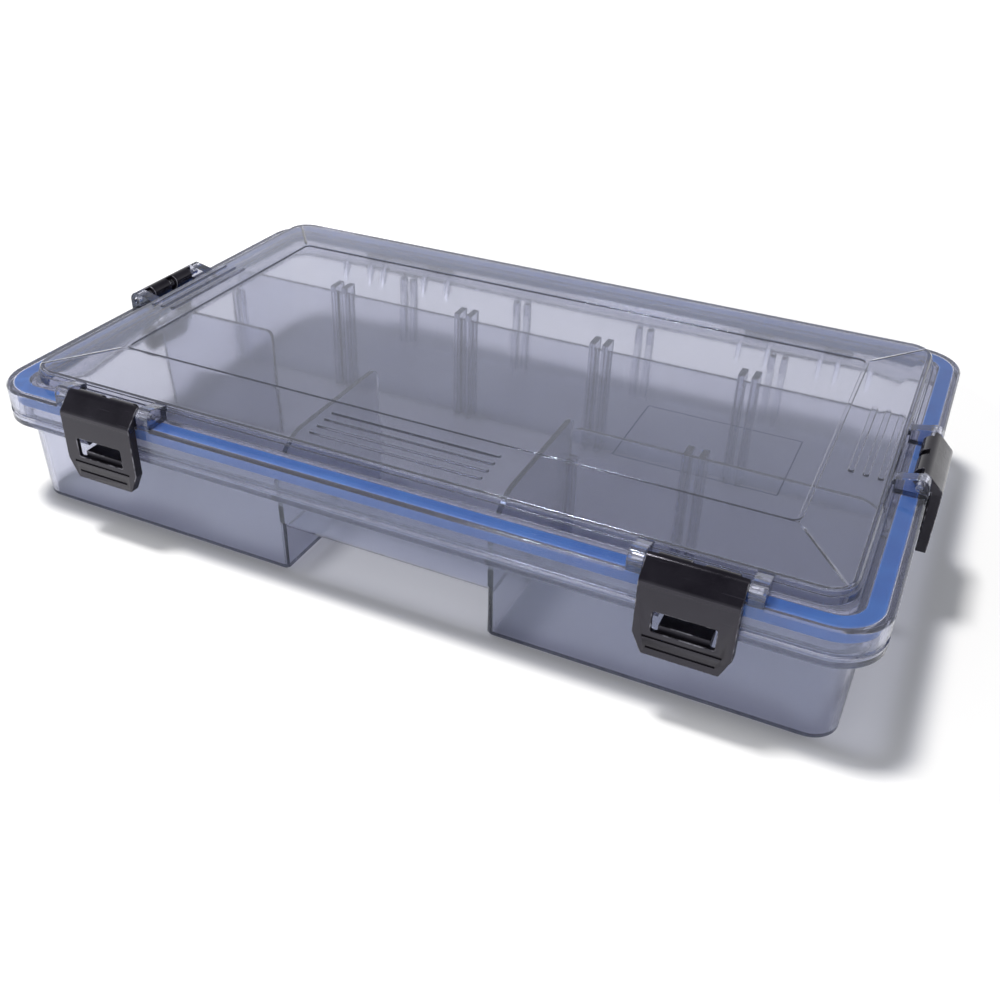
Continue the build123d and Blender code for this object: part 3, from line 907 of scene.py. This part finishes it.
@dataclass
class PhotoCamera:
    """Camera that stands where the photograph was taken."""

    place: Place = (0.169376, -0.377007, 0.259064)
    yaw: float = math.radians(-23.9546)
    pitch: float = math.radians(33.2668)
    roll: float = math.radians(-1.8816)
    lens: float = 39.956
    sensor: float = 36.0

    def build(self) -> bpy.types.Object:
        """Make the camera and give it to the scene.

        Returns:
            The camera object.
        """
        ahead = Vector((
            math.sin(self.yaw) * math.cos(self.pitch),
            math.cos(self.yaw) * math.cos(self.pitch),
            -math.sin(self.pitch),
        ))
        level = ahead.cross(Vector((0, 0, 1))).normalized()
        down = ahead.cross(level)
        right = math.cos(self.roll) * level + math.sin(self.roll) * down
        below = math.cos(self.roll) * down - math.sin(self.roll) * level
        camera = bpy.data.objects.new("camera", bpy.data.cameras.new("camera"))
        camera.data.lens = self.lens
        camera.data.sensor_width = self.sensor
        turn = Matrix((right, -below, -ahead)).transposed()
        camera.matrix_world = Matrix.Translation(self.place) @ turn.to_4x4()
        bpy.context.scene.collection.objects.link(camera)
        bpy.context.scene.camera = camera
        return camera


@dataclass(frozen=True)
class Lamp:
    """A square lamp that shines at the middle of the floor, in metres and watts."""

    place: Place
    power: float
    size: float


@dataclass
class Studio:
    """Pale floor, pale surroundings and soft lamps.

    Attributes:
        floor_gap: Gap under the tub, without which light would leak between the two faces.
        front_painted_light: How far the floor in front of the box is lifted to white, as painted light that
            takes out the box's shadow there.
        front_edge: Distances in front of the middle between which that lift comes up.
        recess_painted_light: How far the floor in the recess under the box's front is lifted, as painted
            light over the box's shadow.
        recess_side: Half widths between which that lift ends.
        recess_back: Distances in front of the middle between which it comes up.
        white_from: Distance from the middle at which the floor begins to turn white.
        white_to: Distance from the middle at which it is white.
        low_sky: Height and colour of the surroundings low down.
        high_sky: Height and colour of the surroundings high up.
    """

    floor_half: float = 3.0
    floor_gap: float = 0.0003
    floor_colour: Colour = (0.96, 0.96, 0.96)
    floor_roughness: float = 0.9
    floor_gleam: float = 0.1
    front_painted_light: float = 0.40
    front_edge: Range = (0.099, 0.122)
    recess_painted_light: float = 0.04
    recess_side: Range = (0.038, 0.046)
    recess_back: Range = (0.064, 0.076)
    white_from: float = 0.26
    white_to: float = 0.55
    low_sky: tuple[float, Colour] = (0.14, (1.0, 1.0, 1.0))
    high_sky: tuple[float, Colour] = (0.72, (0.165, 0.175, 0.205))
    lamp_colour: Colour = (1.0, 0.985, 0.955)
    lamps: tuple[Lamp, ...] = (
        Lamp((-0.30, -0.12, 1.32), power=15.5, size=0.22),
        Lamp((0.35, -1.1, 0.7), power=1.8, size=0.08),
    )

    def seen_directly(self, wiring: Wiring) -> Socket:
        """Tell what the camera sees, also through and in the box, from what lights it.

        Args:
            wiring: Wiring of the floor's material.

        Returns:
            Output that is 1 where the surface is seen and 0 where it only gives light.
        """
        path = wiring.add("ShaderNodeLightPath").outputs
        seen = wiring.maths("MAXIMUM", path["Is Camera Ray"], path["Is Glossy Ray"])
        seen = wiring.maths("MAXIMUM", seen, path["Is Transmission Ray"])
        undiffused = wiring.maths("LESS_THAN", path["Diffuse Depth"], 0.5)
        return wiring.maths("MULTIPLY", seen, undiffused)

    def floor(self) -> None:
        """Make the floor, which shows white to the camera and keeps the box's shadow, except where painted
        light lifts it in front of the box and in the recess.
        """
        shape = bmesh.new()
        bmesh.ops.create_grid(shape, x_segments=1, y_segments=1, size=self.floor_half)
        bmesh.ops.translate(shape, verts=shape.verts, vec=(0.0, 0.0, -self.floor_gap))
        mesh = bpy.data.meshes.new("floor")
        shape.to_mesh(mesh)
        shape.free()
        floor = bpy.data.objects.new("floor", mesh)
        bpy.context.scene.collection.objects.link(floor)
        material, wiring, shader = new_material("pale_floor")
        place = wiring.place()
        length = wiring.add("ShaderNodeVectorMath", operation="LENGTH")
        wiring.join(place, length.inputs[0])
        lift = wiring.span(length.outputs["Value"], (self.white_from, self.white_to))
        # Painted light: besides turning white far away, the floor glows in front of the box and in the
        # recess.
        lift = wiring.maths("MAXIMUM", lift, self.painted_light_in_front(wiring, place))
        wiring.give(
            shader, Base_Color=self.floor_colour, Roughness=self.floor_roughness,
            Specular_IOR_Level=self.floor_gleam, Emission_Color=(1.0, 1.0, 1.0),
            Emission_Strength=wiring.maths("MULTIPLY", self.seen_directly(wiring), lift),
        )
        mesh.materials.append(material)

    def painted_light_in_front(self, wiring: Wiring, place: Socket) -> Socket:
        """Paint light onto the floor in front of the box and in the recess under its front, which lifts the
        box's shadow there.

        Args:
            wiring: Wiring of the floor's material.
            place: Output socket with the place on the floor.

        Returns:
            Output with the painted light.
        """
        axes = wiring.axes(place)
        ahead = wiring.maths("MULTIPLY", axes["Y"], -1.0)
        front = wiring.span(ahead, self.front_edge, (0.0, self.front_painted_light))
        across = wiring.span(wiring.maths("ABSOLUTE", axes["X"]), self.recess_side, (1.0, 0.0))
        inward = wiring.span(ahead, self.recess_back, (0.0, self.recess_painted_light))
        return wiring.maths("MAXIMUM", front, wiring.maths("MULTIPLY", across, inward))

    def surroundings(self) -> None:
        """Make the pale surroundings, which show white behind the box."""
        world = bpy.data.worlds.new("pale_room")
        world.use_nodes = True
        bpy.context.scene.world = world
        wiring = Wiring(world.node_tree)
        direction = wiring.add("ShaderNodeTexCoord").outputs["Generated"]
        (low, pale), (high, dim) = self.low_sky, self.high_sky
        height = wiring.span(wiring.axes(direction)["Z"], (low, high))
        background = world.node_tree.nodes["Background"]
        wiring.give(background, Color=wiring.blend(height, pale, dim), Strength=1.0)

    def lights(self) -> None:
        """Hang the soft lamps."""
        for lamp in self.lamps:
            light = bpy.data.lights.new("soft_lamp", "AREA")
            light.energy = lamp.power
            light.size = lamp.size
            light.color = self.lamp_colour
            holder = bpy.data.objects.new("soft_lamp", light)
            holder.location = lamp.place
            holder.rotation_euler = (-Vector(lamp.place)).to_track_quat("-Z", "Y").to_euler()
            bpy.context.scene.collection.objects.link(holder)

    def build(self) -> None:
        """Set up the whole studio."""
        self.floor()
        self.surroundings()
        self.lights()
        bpy.context.scene.view_settings.view_transform = "Standard"


def main() -> None:
    """Build the camera, the box's assemblies and the studio in order."""
    logging.basicConfig(level=logging.INFO, format="%(message)s")
    PhotoCamera().build()
    effects = EffectLibrary()
    for assembly in (TubAssembly(effects), LidAssembly(effects), LatchSet(effects), HingePair(effects)):
        assembly.build()
        LOG.info("%s is done", type(assembly).__name__)
    Studio().build()


if __name__ == "__main__":
    main()
